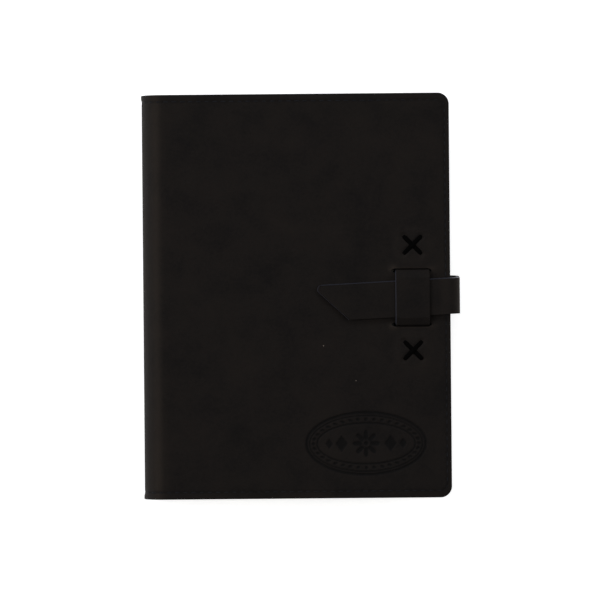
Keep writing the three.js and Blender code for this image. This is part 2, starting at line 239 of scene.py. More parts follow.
def round_corner(u, v, end, half, radius):
    """The point of a square corner moved so that the corner becomes a quarter circle."""
    across = (u - (end - radius)) / radius
    up = (abs(v) - (half - radius)) / radius
    if across <= 0 or up <= 0:
        return u, v
    reach = max(across, up) * radius
    turn = math.pi / 4 * up / across if across >= up else math.pi / 2 - math.pi / 4 * across / up
    side = math.copysign(1, v)
    return end - radius + reach * math.cos(turn), side * (half - radius + reach * math.sin(turn))


def cover_point(along, y, depth, front):
    """A point at a depth under the outer face. along is 0 where the flat cover starts, and runs down to
    minus a quarter of the roll in the middle of the spine."""
    if along >= 0:
        x, z = FLAT_X + along, depth
    else:
        turn = -along / ROLL
        reach = ROLL - depth
        x, z = FLAT_X - reach * math.sin(turn), ROLL - reach * math.cos(turn)
    return Vector((x, y, TOP - z if front else z))


def cover_normal(along, front):
    """The direction out of the cover's outer face."""
    turn = min(along, 0) / ROLL
    z = -math.cos(turn)
    return Vector((math.sin(turn), 0, -z if front else z))


def bent_line(corners, radius, step=math.radians(15)):
    """Points of a line in two dimensions whose corners are rounded."""
    corners = [Vector(c) for c in corners]
    points = [corners[0]]
    for before, corner, after in zip(corners, corners[1:], corners[2:]):
        arriving = (corner - before).normalized()
        leaving = (after - corner).normalized()
        turn = arriving.angle_signed(leaving)
        trim = radius * math.tan(abs(turn) / 2)
        side = Vector((arriving.y, -arriving.x)) * math.copysign(1, turn)
        centre = corner - arriving * trim + side * radius
        count = max(2, math.ceil(abs(turn) / step))
        for i in range(count + 1):
            angle = abs(turn) * i / count
            points.append(centre - side * radius * math.cos(angle) + arriving * radius * math.sin(angle))
    return points + [corners[-1]]


class Walk:
    """A polyline that is read by the distance walked along it."""

    def __init__(self, points):
        self.points = points
        self.marks = [0.0]
        for a, b in zip(points, points[1:]):
            self.marks.append(self.marks[-1] + (b - a).length)
        self.length = self.marks[-1]

    def at(self, distance):
        """The point at that distance, and the heading there."""
        distance = min(max(distance, 0), self.length)
        i = 0
        while i < len(self.points) - 2 and self.marks[i + 1] < distance:
            i += 1
        a, b = self.points[i], self.points[i + 1]
        share = (distance - self.marks[i]) / (self.marks[i + 1] - self.marks[i])
        return a.lerp(b, share), (b - a).normalized()

    def stations(self, step):
        """Evenly spaced distances that also include every corner."""
        return ladder(0.0, *[(mark, step) for mark in self.marks[1:]])


# ---- mesh tools ----
def add_object(name, mesh, materials):
    """A new object for a mesh, with its materials."""
    piece = bpy.data.objects.new(name, mesh)
    bpy.context.scene.collection.objects.link(piece)
    for material in materials:
        mesh.materials.append(material)
    for polygon in mesh.polygons:
        polygon.use_smooth = True
    return piece


def apply_modifiers(piece):
    """Makes the modifiers' result the piece's own mesh."""
    evaluated = piece.evaluated_get(bpy.context.evaluated_depsgraph_get())
    mesh = bpy.data.meshes.new_from_object(evaluated)
    piece.modifiers.clear()
    old = piece.data
    piece.data = mesh
    bpy.data.meshes.remove(old)


def plate(
    name,
    columns,
    rows,
    outer,
    inner,
    materials,
    edge_round=0.0,
    kept=None,
    joined=False,
    marks=None,
    rim_slot=1,
):
    """A closed sheet over a grid, with its cut edges rounded.

    outer and inner give its two faces, and kept says which cells stay. materials are those of the outer
    face, the cut edges and the inner face. The first column keeps a sharp edge where it is joined to the
    other half of the sheet. marks gives named values between 0 and 1 to the outer face. rim_slot is the
    material of the rounded edges.
    """
    across, up = len(columns), len(rows)
    cells = []
    for i in range(across - 1):
        for j in range(up - 1):
            middle = (columns[i] + columns[i + 1]) / 2, (rows[j] + rows[j + 1]) / 2
            if kept is None or kept(*middle):
                cells.append((i, j))
    corners = sorted({(i + a, j + b) for i, j in cells for a in (0, 1) for b in (0, 1)})
    bm = bmesh.new()
    weight = bm.edges.layers.float.new("bevel_weight_edge")
    layers = {key: bm.verts.layers.float.new(key) for key in (marks or {})}
    upper = {c: bm.verts.new(outer(columns[c[0]], rows[c[1]])) for c in corners}
    lower = {c: bm.verts.new(inner(columns[c[0]], rows[c[1]])) for c in corners}
    for key, layer in layers.items():
        for c in corners:
            upper[c][layer] = marks[key](columns[c[0]], rows[c[1]])
    sides = {}
    for i, j in cells:
        ring = [(i, j), (i + 1, j), (i + 1, j + 1), (i, j + 1)]
        bm.faces.new([upper[c] for c in ring]).material_index = 0
        bm.faces.new([lower[c] for c in reversed(ring)]).material_index = 2
        for side in zip(ring, ring[1:] + ring[:1]):
            key = tuple(sorted(side))
            sides[key] = None if key in sides else side
    for side in filter(None, sides.values()):
        a, b = side
        wall = bm.faces.new([upper[b], upper[a], lower[a], lower[b]])
        wall.material_index = 1
        if joined and a[0] == 0 and b[0] == 0:
            for edge in wall.edges:
                edge.smooth = False
        else:
            for level in (upper, lower):
                bm.edges.get((level[a], level[b]))[weight] = 1.0
    bmesh.ops.recalc_face_normals(bm, faces=bm.faces)
    mesh = bpy.data.meshes.new(name)
    bm.to_mesh(mesh)
    bm.free()
    piece = add_object(name, mesh, materials)
    if edge_round:
        bevel = piece.modifiers.new("Rounded edges", "BEVEL")
        bevel.limit_method = "WEIGHT"
        bevel.width = edge_round
        bevel.segments = 3
        bevel.material = rim_slot
    weighted = piece.modifiers.new("Even faces", "WEIGHTED_NORMAL")
    weighted.keep_sharp = True
    apply_modifiers(piece)
    return piece


def tubes(name, runs, materials, sides=8):
    """One mesh of many short closed tubes. A run is a list of (centre, direction across, direction up,
    half width, half height)."""
    bm = bmesh.new()
    for run in runs:
        rings = []
        for centre, across, up, half_width, half_height in run:
            ring = []
            for k in range(sides):
                angle = 2 * math.pi * k / sides
                ring.append(
                    bm.verts.new(
                        centre + across * half_width * math.cos(angle) + up * half_height * math.sin(angle)
                    )
                )
            rings.append(ring)
        for first, second in zip(rings, rings[1:]):
            for k in range(sides):
                bm.faces.new([first[k], first[(k + 1) % sides], second[(k + 1) % sides], second[k]])
        bm.faces.new(rings[0][::-1])
        bm.faces.new(rings[-1])
    bmesh.ops.recalc_face_normals(bm, faces=bm.faces)
    mesh = bpy.data.meshes.new(name)
    bm.to_mesh(mesh)
    bm.free()
    return add_object(name, mesh, materials)


def hinge_cover(piece, front):
    """Bakes a half of the cover's placing into its mesh. The front and the back are treated alike."""
    if front:
        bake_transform(piece)
    else:
        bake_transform(piece)


# ---- materials ----
class Nodes:
    """Short ways to add and join a node tree's nodes."""

    def __init__(self, tree):
        self.tree = tree

    def add(self, kind, **values):
        """A node with these properties."""
        node = self.tree.nodes.new(kind)
        for key, value in values.items():
            setattr(node, key, value)
        return node

    def join(self, output, node, name):
        """Joins an output to a node's input."""
        self.tree.links.new(output, node.inputs[name])

    def math(self, operation, first, second=None):
        """A Math node's output. first and second are numbers or outputs."""
        node = self.add("ShaderNodeMath", operation=operation)
        for slot, value in enumerate((first, second)):
            if isinstance(value, (int, float)):
                node.inputs[slot].default_value = value
            elif value is not None:
                self.tree.links.new(value, node.inputs[slot])
        return node.outputs[0]

    def weighted(self, *parts):
        """The sum of outputs, each times its weight."""
        total = None
        for output, weight in parts:
            part = self.math("MULTIPLY", output, weight)
            total = part if total is None else self.math("ADD", total, part)
        return total

    def noise(self, vector, scale, detail=3.0, roughness=0.5):
        """The value of a noise texture."""
        node = self.add("ShaderNodeTexNoise")
        node.inputs["Detail"].default_value = detail
        node.inputs["Roughness"].default_value = roughness
        self.join(vector, node, "Vector")
        if isinstance(scale, (int, float)):
            node.inputs["Scale"].default_value = scale
        else:
            self.join(scale, node, "Scale")
        return node.outputs["Fac"]

    def between(self, value, low, high, to_low=0.0, to_high=1.0):
        """A value moved from one range to another, and held inside it."""
        node = self.add("ShaderNodeMapRange")
        self.join(value, node, "Value")
        for key, number in (("From Min", low), ("From Max", high), ("To Min", to_low), ("To Max", to_high)):
            node.inputs[key].default_value = number
        return node.outputs["Result"]

    def mix(self, share, first, second):
        """A mix of two colours, each a colour or an output."""
        node = self.add("ShaderNodeMix", data_type="RGBA")
        self.tree.links.new(share, node.inputs[0])
        for slot, value in ((6, first), (7, second)):
            if isinstance(value, bpy.types.NodeSocket):
                self.tree.links.new(value, node.inputs[slot])
            else:
                node.inputs[slot].default_value = (*value, 1)
        return node.outputs[2]


def new_group(name, inputs, outputs):
    """An empty shader node group with these sockets. Returns its tools, its input and its output node."""
    tree = bpy.data.node_groups.new(name, "ShaderNodeTree")
    for label, default in inputs:
        socket = tree.interface.new_socket(name=label, in_out="INPUT", socket_type="NodeSocketFloat")
        socket.default_value = default
    for label in outputs:
        tree.interface.new_socket(name=label, in_out="OUTPUT", socket_type="NodeSocketFloat")
    nodes = Nodes(tree)
    return nodes, nodes.add("NodeGroupInput"), nodes.add("NodeGroupOutput")


def hide_surface_group():
    """Leather: fine pebbled grain, pores and soft creases, oil mottling, and a few specks of lint."""
    inputs = [("Grain Size", 1900.0), ("Mottle Size", 45.0), ("Crease Size", 260.0), ("Lint", 1.0)]
    nodes, given, result = new_group("Hide surface", inputs, ["Mottle", "Grain", "Lint"])
    place = nodes.add("ShaderNodeTexCoord").outputs["Object"]
    pebble = nodes.add("ShaderNodeTexVoronoi", feature="DISTANCE_TO_EDGE")
    nodes.join(place, pebble, "Vector")
    nodes.join(given.outputs["Grain Size"], pebble, "Scale")
    grain = nodes.between(pebble.outputs["Distance"], 0.0, 0.22)
    pores = nodes.noise(place, nodes.math("MULTIPLY", given.outputs["Grain Size"], 0.45), 4.0, 0.62)
    crease = nodes.noise(place, given.outputs["Crease Size"], 5.0, 0.6)
    folds = nodes.between(nodes.math("ABSOLUTE", nodes.math("SUBTRACT", crease, 0.5)), 0.0, 0.06)
    height = nodes.weighted((grain, 0.35), (pores, 0.55), (folds, 0.12))
    broad = nodes.noise(place, given.outputs["Mottle Size"], 4.0, 0.62)
    fine = nodes.noise(place, nodes.math("MULTIPLY", given.outputs["Mottle Size"], 13.0), 3.0, 0.6)
    mottle = nodes.weighted((broad, 0.7), (fine, 0.3))
    speck = nodes.add("ShaderNodeTexVoronoi", feature="F1")
    nodes.join(place, speck, "Vector")
    speck.inputs["Scale"].default_value = 62.0
    near = nodes.between(speck.outputs["Distance"], 0.013, 0.02, 1.0, 0.0)
    chosen = nodes.between(nodes.noise(place, 21.0, 1.0), 0.6, 0.62)
    lint = nodes.math("MULTIPLY", nodes.math("MULTIPLY", near, chosen), given.outputs["Lint"])
    nodes.join(nodes.between(mottle, 0.34, 0.66), result, "Mottle")
    nodes.join(height, result, "Grain")
    nodes.join(lint, result, "Lint")
    return nodes.tree


def fibre_group():
    """Fibres: a soft fuzz with a direction, for suede, cloth, paper, board, thread and painted edges."""
    inputs = [("Across", 900.0), ("Along", 900.0), ("Layer", 900.0)]
    nodes, given, result = new_group("Fibre", inputs, ["Tone", "Height"])
    place = nodes.add("ShaderNodeTexCoord").outputs["Object"]
    scale = nodes.add("ShaderNodeCombineXYZ")
    for label, axis in (("Across", "X"), ("Along", "Y"), ("Layer", "Z")):
        nodes.join(given.outputs[label], scale, axis)
    stretched = nodes.add("ShaderNodeVectorMath", operation="MULTIPLY")
    nodes.tree.links.new(place, stretched.inputs[0])
    nodes.tree.links.new(scale.outputs[0], stretched.inputs[1])
    tone = nodes.noise(stretched.outputs[0], 1.0, 3.0, 0.6)
    soft = nodes.noise(place, 70.0, 3.0, 0.55)
    nodes.join(nodes.weighted((tone, 0.6), (soft, 0.4)), result, "Tone")
    nodes.join(tone, result, "Height")
    return nodes.tree


def new_material(name, tint):
    """A material with an empty Principled shader. Returns the material, its node tools and its shader."""
    material = bpy.data.materials.new(name)
    material.use_nodes = True
    material.diffuse_color = (*tint, 1)
    nodes = Nodes(material.node_tree)
    shader = material.node_tree.nodes["Principled BSDF"]
    return material, nodes, shader


def place_group(nodes, group, **values):
    """A group placed in a material, with its own values. A name's underscores stand for spaces."""
    node = nodes.add("ShaderNodeGroup")
    node.node_tree = group
    for key, value in values.items():
        node.inputs[key.replace("_", " ")].default_value = value
    return node


def bump(nodes, shader, height, distance):
    """A Bump node between a height and the shader."""
    node = nodes.add("ShaderNodeBump")
    node.inputs["Distance"].default_value = distance
    node.inputs["Strength"].default_value = 1.0
    nodes.join(height, node, "Height")
    nodes.join(node.outputs["Normal"], shader, "Normal")


def leather_material(name, finish, group, grain, depth, lint, specular):
    """Oiled hide. The pressed mark darkens it: the pressed ornament, and painted shade along the stitch
    channel. The painted highlight mark lightens it where the leather bulges or bends and catches the light.
    """
    material, nodes, shader = new_material(name, finish.hide)
    surface = place_group(nodes, group, Grain_Size=grain, Lint=lint)
    pressed = nodes.add("ShaderNodeAttribute", attribute_name="pressed").outputs["Fac"]
    painted_highlight = nodes.add("ShaderNodeAttribute", attribute_name="painted_highlight").outputs["Fac"]
    mottle = surface.outputs["Mottle"]
    tone = nodes.mix(nodes.between(mottle, 0.0, 1.0, 0.0, 0.3), finish.hide, finish.hide_light)
    tone = nodes.mix(nodes.between(mottle, 0.0, 0.5, 0.2, 0.0), tone, finish.hide_dark)
    # Painted highlight, broken into patches by the mottle, lightens the hide towards hide_light.
    patchy = nodes.math("MULTIPLY", painted_highlight, nodes.between(mottle, 0.0, 1.0, 0.6, 1.0))
    tone = nodes.mix(patchy, tone, finish.hide_light)
    # The pressed ornament is darker, and the stitch channel gets painted shade, towards hide_dark.
    tone = nodes.mix(nodes.math("MULTIPLY", pressed, 0.85), tone, finish.hide_dark)
    tone = nodes.mix(surface.outputs["Lint"], tone, finish.lint)
    nodes.join(tone, shader, "Base Color")
    rough = nodes.between(mottle, 0.0, 1.0, 0.62, 0.74)
    rough = nodes.math("SUBTRACT", rough, nodes.math("MULTIPLY", pressed, 0.1))
    nodes.join(rough, shader, "Roughness")
    shader.inputs["Specular IOR Level"].default_value = specular
    bump(nodes, shader, surface.outputs["Grain"], depth)
    return material


def fibre_material(name, tint, group, scales, dark, depth, roughness, sheen=0.0, specular=0.3):
    """Thread, lace, suede, cloth or board, from the shared fibre group. dark is how much of the tint is
    left between the fibres."""
    material, nodes, shader = new_material(name, tint)
    surface = place_group(nodes, group, Across=scales[0], Along=scales[1], Layer=scales[2])
    tone = nodes.mix(nodes.between(surface.outputs["Tone"], 0.3, 0.7), [c * dark for c in tint], tint)
    nodes.join(tone, shader, "Base Color")
    shader.inputs["Roughness"].default_value = roughness
    shader.inputs["Specular IOR Level"].default_value = specular
    shader.inputs["Sheen Weight"].default_value = sheen
    bump(nodes, shader, surface.outputs["Height"], depth)
    return material


def edge_material(name, tint, group):
    """Painted and burnished leather edges."""
    material, nodes, shader = new_material(name, tint)
    surface = place_group(nodes, group, Across=500.0, Along=500.0, Layer=1400.0)
    tone = nodes.mix(surface.outputs["Tone"], [c * 0.6 for c in tint], tint)
    nodes.join(tone, shader, "Base Color")
    nodes.join(nodes.between(surface.outputs["Tone"], 0.3, 0.7, 0.45, 0.6), shader, "Roughness")
    shader.inputs["Specular IOR Level"].default_value = 0.2
    bump(nodes, shader, surface.outputs["Height"], 0.04 * MM)
    return material


def paper_material(finish, group, ruled):
    """Cream paper. The pages' own faces carry ruled lines."""
    material, nodes, shader = new_material("Ruled paper" if ruled else "Paper", finish.paper)
    surface = place_group(nodes, group, Across=240.0, Along=240.0, Layer=9000.0)
    darker = [c * 0.86 for c in finish.paper]
    tone = nodes.mix(nodes.between(surface.outputs["Tone"], 0.3, 0.7), darker, finish.paper)
    if ruled:
        spacing = 7.1 * MM
        line_share = 0.022  # half a line's thickness, as a share of the spacing
        last_line = 84 * MM
        place = nodes.add("ShaderNodeTexCoord").outputs["Object"]
        split = nodes.add("ShaderNodeSeparateXYZ")
        nodes.join(place, split, "Vector")
        row = nodes.math("FRACT", nodes.math("DIVIDE", split.outputs["Y"], spacing))
        off = nodes.math("ABSOLUTE", nodes.math("SUBTRACT", row, 0.5))
        line = nodes.math("LESS_THAN", off, line_share)
        inside = nodes.math("LESS_THAN", nodes.math("ABSOLUTE", split.outputs["Y"]), last_line)
        tone = nodes.mix(nodes.math("MULTIPLY", line, inside), tone, finish.ruling)
    nodes.join(tone, shader, "Base Color")
    shader.inputs["Roughness"].default_value = 0.85
    shader.inputs["Specular IOR Level"].default_value = 0.2
    bump(nodes, shader, surface.outputs["Height"], 0.03 * MM)
    return material


MATERIALS = {}


def make_materials(finish):
    """All the finishes, kept by name."""
    hide = hide_surface_group()
    fibre = fibre_group()
    leathers = {
        "cover": ("Cover leather", 1900.0, 0.14 * MM, 1.0, 0.1),
        "strap": ("Strap leather", 2200.0, 0.11 * MM, 1.0, 0.1),
        "pocket": ("Pocket leather", 2600.0, 0.09 * MM, 0.0, 0.15),
    }
    for key, (name, grain, depth, lint, specular) in leathers.items():
        MATERIALS[key] = leather_material(name, finish, hide, grain, depth, lint, specular)
    # The strap's and the keeper's cut edges: edge paint made light and bluish as a painted highlight.
    MATERIALS["edge"] = edge_material("Edge paint", finish.edge, fibre)
    MATERIALS["cover_edge"] = edge_material("Cover edge", finish.cover_edge, fibre)
    MATERIALS["lace"] = fibre_material(
        "Waxed lace",
        finish.lace,
        fibre,
        (900, 900, 300),
        dark=0.5,
        depth=0.12 * MM,
        roughness=0.8,
        specular=0.04,
    )
    MATERIALS["thread"] = fibre_material(
        "Thread",
        finish.thread,
        fibre,
        (2400, 2400, 900),
        dark=0.5,
        depth=0.1 * MM,
        roughness=0.7,
        specular=0.15,
    )
    MATERIALS["suede"] = fibre_material(
        "Suede",
        finish.suede,
        fibre,
        (1500, 1500, 1500),
        dark=0.7,
        depth=0.12 * MM,
        roughness=0.95,
        sheen=0.25,
    )
    MATERIALS["cloth"] = fibre_material(
        "Book cloth", finish.cloth, fibre, (2600, 700, 1200), dark=0.55, depth=0.1 * MM, roughness=0.8
    )
    MATERIALS["board"] = fibre_material(
        "Grey board", finish.board, fibre, (500, 500, 3000), dark=0.75, depth=0.1 * MM, roughness=0.95
    )
    MATERIALS["paper"] = paper_material(finish, fibre, False)
    MATERIALS["ruled"] = paper_material(finish, fibre, True)


# ---- the cover's leather ----
def rows_between(head, *stretches):
    """Rows from the foot to the head. head lists the lines near the head, and the foot has the same."""
    foot = [-y for y in reversed(head)]
    return foot[:-1] + ladder(foot[-1], *stretches) + head[1:]


def leather_rows(*middle):
    """Rows of a full-height sheet: close at head and foot, as the middle says between them, and one long
    row from there to the head's lines."""
    head = from_edge(HALF_HEIGHT, 0.0, 0.9, 1.8, 2.6, 3.2, 3.7, 4.2, 4.8, 5.4, 6.0)
    return rows_between(head, *middle, (head[0], HALF_HEIGHT))


def leather_columns(*middle):
    """Columns from the middle of the spine to the fore-edge."""
    fore = from_edge(FORE, 0.0, 0.9, 1.5, 2.0, 2.4, 2.8, 3.3, 4.1, 5.0, 6.0)
    return ladder(-QUARTER, (0.0, 0.75 * MM), *middle, (fore[0], 2.5 * MM)) + fore[1:]


def off_seam(sizes, along, y):
    """How far a point lies from the stitch line."""
    return box_depth(along, y, sizes.hem_fore_inset, sizes.hem_inset, sizes.hem_corner)


def hem_relief(sizes, along, y):
    """The seam's channel, and the flare of the spine past its end stitches."""
    channel = 0.8 * MM
    off = off_seam(sizes, along, y) / channel
    sink = sizes.hem_sink * (1 - off * off) ** 2 if abs(off) < 1 else 0.0
    past = abs(y) - (HALF_HEIGHT - sizes.hem_inset)
    flare = sizes.hem_flare * smooth(past, 0.4 * MM, 2 * MM) * smooth(-along, 0, 7 * MM)
    return flare - sink


def seam_shade(sizes, along, y):
    """1 on the stitch line, 0 beside it."""
    reach = 0.7 * MM
    off = off_seam(sizes, along, y) / reach
    return max(1 - off * off, 0.0)


def spine_highlight(along):
    """Painted highlight where the hide rolls into the spine: a band near the crest, and a fainter lightening
    over the rest of the roll.
    """
    crest_at = -3.3 * MM
    crest = bell(along - crest_at, 2.6 * MM)
    return 0.7 * crest + 0.15 * smooth(-along, 2 * MM, 8 * MM)


def waves(along, y):
    """The slow unevenness of a hide that lies nearly flat. It fades out on the roll."""
    height = 0.06 * MM
    a, b = along / MM, y / MM
    first = math.sin(a / 19 + 1.3 * math.sin(b / 31))
    second = math.sin(b / 23 + a / 47)
    return smooth(along, -QUARTER / 2, 10 * MM) * height * (first + second)


def stroke_distance(x, y, size):
    """Distance to the nearer of a cross's two strokes."""
    found = []
    for side in (-1, 1):
        along = (x + side * y) / math.sqrt(2)
        across = (x - side * y) / math.sqrt(2)
        past = max(abs(along) - size / math.sqrt(2), 0)
        found.append(math.hypot(across, past))
    return min(found)


def cross_hollow(closure, middle, x, y, depth):
    """How deep the lace of a cross-stitch pulls the leather down."""
    reach = 1.6 * MM
    near = stroke_distance(x - middle.x, y - middle.y, closure.cross - closure.lace) / reach
    return depth * math.exp(-(near**4))


def keeper_relief(closure, x, y):
    """The leather over the keeper's tongues, at its slits and under its cross-stitches. Returns how far it
    stands out, and a painted highlight where the lifted slit corners, the slits' lips and the leather round
    the crosses catch the light."""
    tongue_height = 0.4 * MM
    corner_height = 0.45 * MM
    lace_depth = 0.55 * MM
    dx = x - KEEPER_MIDDLE.x
    dy = abs(y - KEEPER_MIDDLE.y)
    half = (KEEPER_HIGH.x - KEEPER_LOW.x) / 2
    tongue_end = (KEEPER_HIGH.y - KEEPER_LOW.y) / 2
    sides = smooth(half + 2.5 * MM - abs(dx), 0, 5.5 * MM)
    over = sides * smooth(dy, closure.slit_span / 2, closure.slit_span / 2 + 2 * MM)
    over *= smooth(tongue_end + 2 * MM - dy, 0, 12 * MM)
    corner = math.hypot(abs(dx) - closure.slit_length / 2, dy - closure.slit_span / 2 - 1.1 * MM)
    lift = bell(corner, 1.9 * MM) * (1.0 if dx < 0 else 0.6)
    height = tongue_height * over + corner_height * lift
    lip = dy - (closure.slit_span + closure.slit_width) / 2 - 0.35 * MM
    # Painted highlight on the lifted slit corners and along the slits' lips.
    painted_highlight = 1.15 * lift + 0.7 * bell(lip, 0.45 * MM) * smooth(half + 1.5 * MM - abs(dx), 0, 2 * MM)
    for middle in CROSSES:
        height -= cross_hollow(closure, middle, x, y, lace_depth)
        ring = math.hypot(x - middle.x, y - middle.y)
        # Painted highlight: a soft lighter ring round each cross.
        painted_highlight += 0.16 * bell(ring - 8.5 * MM, 2.6 * MM)
    return height, min(painted_highlight, 1.0)


def ring_mark(distance, half_width, soft):
    """1 on a line of the given half width, with soft sides."""
    return smooth(half_width + soft - abs(distance), 0, soft)


def ornament_mark(sizes, dx, dy):
    """The pressed ornament: an oval band of beads round a rosette between pairs of lozenges."""
    a, b = abs(dx), abs(dy)
    wide, high = sizes.half_width, sizes.half_height
    soft = 0.35 * MM
    if a > wide + MM or b > high + MM:
        return 0.0
    level = math.hypot(dx / wide, dy / high)
    if level < 1e-6:
        return 1.0
    slope = math.hypot(dx / wide**2, dy / high**2) / level
    oval = (level - 1) / slope
    mark = 0.0
    for inset, half_line in ((0.7 * MM, 0.55 * MM), (2.3 * MM, 0.2 * MM), (6.2 * MM, 0.3 * MM)):
        mark = max(mark, ring_mark(oval + inset, half_line, soft))
    beads, bead_inset, bead_radius = 36, 4.25 * MM, 0.95 * MM
    turn = math.atan2(dy / high, dx / wide) / (2 * math.pi) * beads
    round_oval = 2 * math.pi * math.hypot(wide * dy / high, high * dx / wide)
    beside = (turn - round(turn)) / beads * round_oval
    mark = max(mark, smooth(bead_radius + soft / 2 - math.hypot(beside, oval + bead_inset), 0, soft))
    radius, angle = math.hypot(dx, dy), math.atan2(dy, dx)
    petal = 7.2 * MM * abs(math.cos(4 * angle)) ** 0.55
    if radius < 8 * MM:
        mark = max(mark, smooth(petal - radius, 0, soft) * smooth(radius, 1.9 * MM, 2.3 * MM))
        mark = max(mark, smooth(1.35 * MM - radius, 0, soft))
    for place, size in ((12.9 * MM, 4.6 * MM), (19.4 * MM, 2.9 * MM)):
        lozenge = abs(a - place) * 1.35 + b
        mark = max(mark, smooth(size - lozenge, 0, soft))
    return mark


def unmoved(u, v):
    """Leaves a grid point where it is."""
    return u, v


def leather_half(name, sizes, columns, rows, front, relief, marks, kept=None, nudge=unmoved):
    """The front or the back half of the cover's one hide, to the middle of the spine."""

    def outer(u, v):
        along, y = round_corner(*nudge(u, v), FORE, HALF_HEIGHT, sizes.corner)
        rise = relief(along, y)
        return cover_point(along, y, 0, front) + cover_normal(along, front) * rise

    def inner(u, v):
        along, y = round_corner(*nudge(u, v), FORE, HALF_HEIGHT, sizes.corner)
        return cover_point(along, y, sizes.leather, front)

    materials = [MATERIALS["cover"], MATERIALS["cover_edge"], MATERIALS["suede"]]
    piece = plate(name, columns, rows, outer, inner, materials, sizes.edge_round, kept, True, marks)
    hinge_cover(piece, front)
    return piece


def front_leather(sizes, closure, ornament):
    """The front half, with the slits, the cross-stitches' hollows and the pressed ornament."""
    slit_shift = 0.4 * MM  # the slits reach a little further towards the spine than the keeper
    slit_middle = KEEPER_MIDDLE.x - slit_shift
    slit_x = [slit_middle - FLAT_X + side * closure.slit_length / 2 for side in (-1, 1)]
    slit_half = closure.slit_width / 2
    span = closure.slit_span / 2
    slit_y = [KEEPER_MIDDLE.y + a * span + b * slit_half for a in (-1, 1) for b in (-1, 1)]
    centre = FRONT_HIGH.x - ornament.x
    left = centre - FLAT_X - ornament.half_width - MM
    right = centre - FLAT_X + ornament.half_width + MM
    fine = 0.45 * MM
    columns = leather_columns((left, 2.5 * MM), (slit_x[0], fine), (right, fine), (slit_x[1], 0.6 * MM))
    rows = leather_rows(
        (ornament.y - ornament.half_height - MM, 2 * MM),
        (ornament.y + ornament.half_height + MM, fine),
        (KEEPER_LOW.y - 3 * MM, 2.5 * MM),
        (slit_y[0], 0.6 * MM),
        (slit_y[1], 0.95 * MM),
        (slit_y[2], 1.5 * MM),
        (slit_y[3], 0.95 * MM),
        (KEEPER_HIGH.y + 3 * MM, 0.6 * MM),
    )

    def relief(along, y):
        x = along + FLAT_X
        stamp = ornament.depth * ornament_mark(ornament, x - centre, y - ornament.y)
        return hem_relief(sizes, along, y) + waves(along, y) + keeper_relief(closure, x, y)[0] - stamp

    def kept(u, v):
        in_slit = slit_x[0] < u < slit_x[1] and (slit_y[0] < v < slit_y[1] or slit_y[2] < v < slit_y[3])
        return not in_slit

    def nudge(u, v):
        """Draws the ends of a slit together to a point."""
        past = abs(u + FLAT_X - slit_middle) - closure.slit_length / 2
        side = math.copysign(span, v - KEEPER_MIDDLE.y)
        off = v - KEEPER_MIDDLE.y - side
        closing = smooth(past, -1.3 * MM, 0) * smooth(-past, -2.5 * MM, 0)
        return u, v - 0.8 * off * bell(off, 2.4 * MM) * closing

    marks = {
        # The pressed mark: the pressed ornament, and painted shade along the stitch channel.
        "pressed": lambda u, v: max(
            ornament_mark(ornament, u + FLAT_X - centre, v - ornament.y), 0.55 * seam_shade(sizes, u, v)
        ),
        # Painted highlight at the keeper's slits and crosses, and on the spine's roll.
        "painted_highlight": lambda u, v: keeper_relief(closure, u + FLAT_X, v)[1] + spine_highlight(u),
    }
    return leather_half("front_leather", sizes, columns, rows, True, relief, marks, kept, nudge)


def back_leather(sizes, closure):
    """The back half of the hide, with a hollow for the cross-stitch of the strap's root."""

    hollow = BACK_LACE_SUNK + 0.1 * MM

    def relief(along, y):
        return hem_relief(sizes, along, y) - cross_hollow(closure, BACK_CROSS, along + FLAT_X, y, hollow)

    zone = 8 * MM
    columns = leather_columns(
        (BACK_CROSS.x - FLAT_X - zone, 2.5 * MM), (BACK_CROSS.x - FLAT_X + zone, 0.6 * MM)
    )
    rows = leather_rows((BACK_CROSS.y - zone, 3 * MM), (BACK_CROSS.y + zone, 0.6 * MM))
    marks = {
        # Painted shade along the stitch channel.
        "pressed": lambda u, v: 0.55 * seam_shade(sizes, u, v),
        # Painted highlight on the spine's roll.
        "painted_highlight": lambda u, v: spine_highlight(u),
    }
    return leather_half("back_leather", sizes, columns, rows, False, relief, marks)


# ---- linings and pockets ----
def pinched(sizes, along, y, depth, rim, front):
    """The depth of an inner layer: at the rim it is sewn close to the leather, and it stays clear of the
    strap's root on the back cover."""
    inside = box_depth(along, y, 0, 0, sizes.corner)
    root = 0.0
    if not front:
        root = smooth(14 * MM - abs(y), 0, 4 * MM) * smooth(along, FORE - 40 * MM, FORE - 34 * MM)
    share = max(smooth(inside, 3.9 * MM, 5 * MM), root)
    clear = 0.3 * MM * root * smooth(along, FORE - 6 * MM, FORE - 4 * MM)
    return rim + (depth - rim) * share + clear


def lining_half(sizes, front):
    """Half of the suede lining."""
    inset = sizes.trim
    rim = sizes.leather + LAYER_GAP
    fore = from_edge(FORE, inset / MM, 2.4, 3.4, 3.9, 4.3, 4.7, 5.1, 6.0)
    head = from_edge(HALF_HEIGHT, inset / MM, 2.4, 3.4, 3.9, 4.3, 4.7, 5.1, 6.0)
    columns = ladder(-QUARTER, (0.0, 1.0 * MM), (fore[0], 6 * MM)) + fore[1:]
    rows = rows_between(head, (-20 * MM, 8 * MM), (20 * MM, 2 * MM), (head[0], 8 * MM))

    def face(extra):
        def point(u, v):
            along, y = round_corner(u, v, FORE - inset, HALF_HEIGHT - inset, sizes.corner - inset)
            depth = pinched(sizes, along, y, sizes.lining_depth, rim, front)
            return cover_point(along, y, depth + extra, front)

        return point

    name = "front_suede_lining" if front else "back_suede_lining"
    suede = MATERIALS["suede"]
    piece = plate(name, columns, rows, face(0), face(sizes.lining), [suede] * 3, 0.1 * MM, joined=True)
    hinge_cover(piece, front)
    return piece


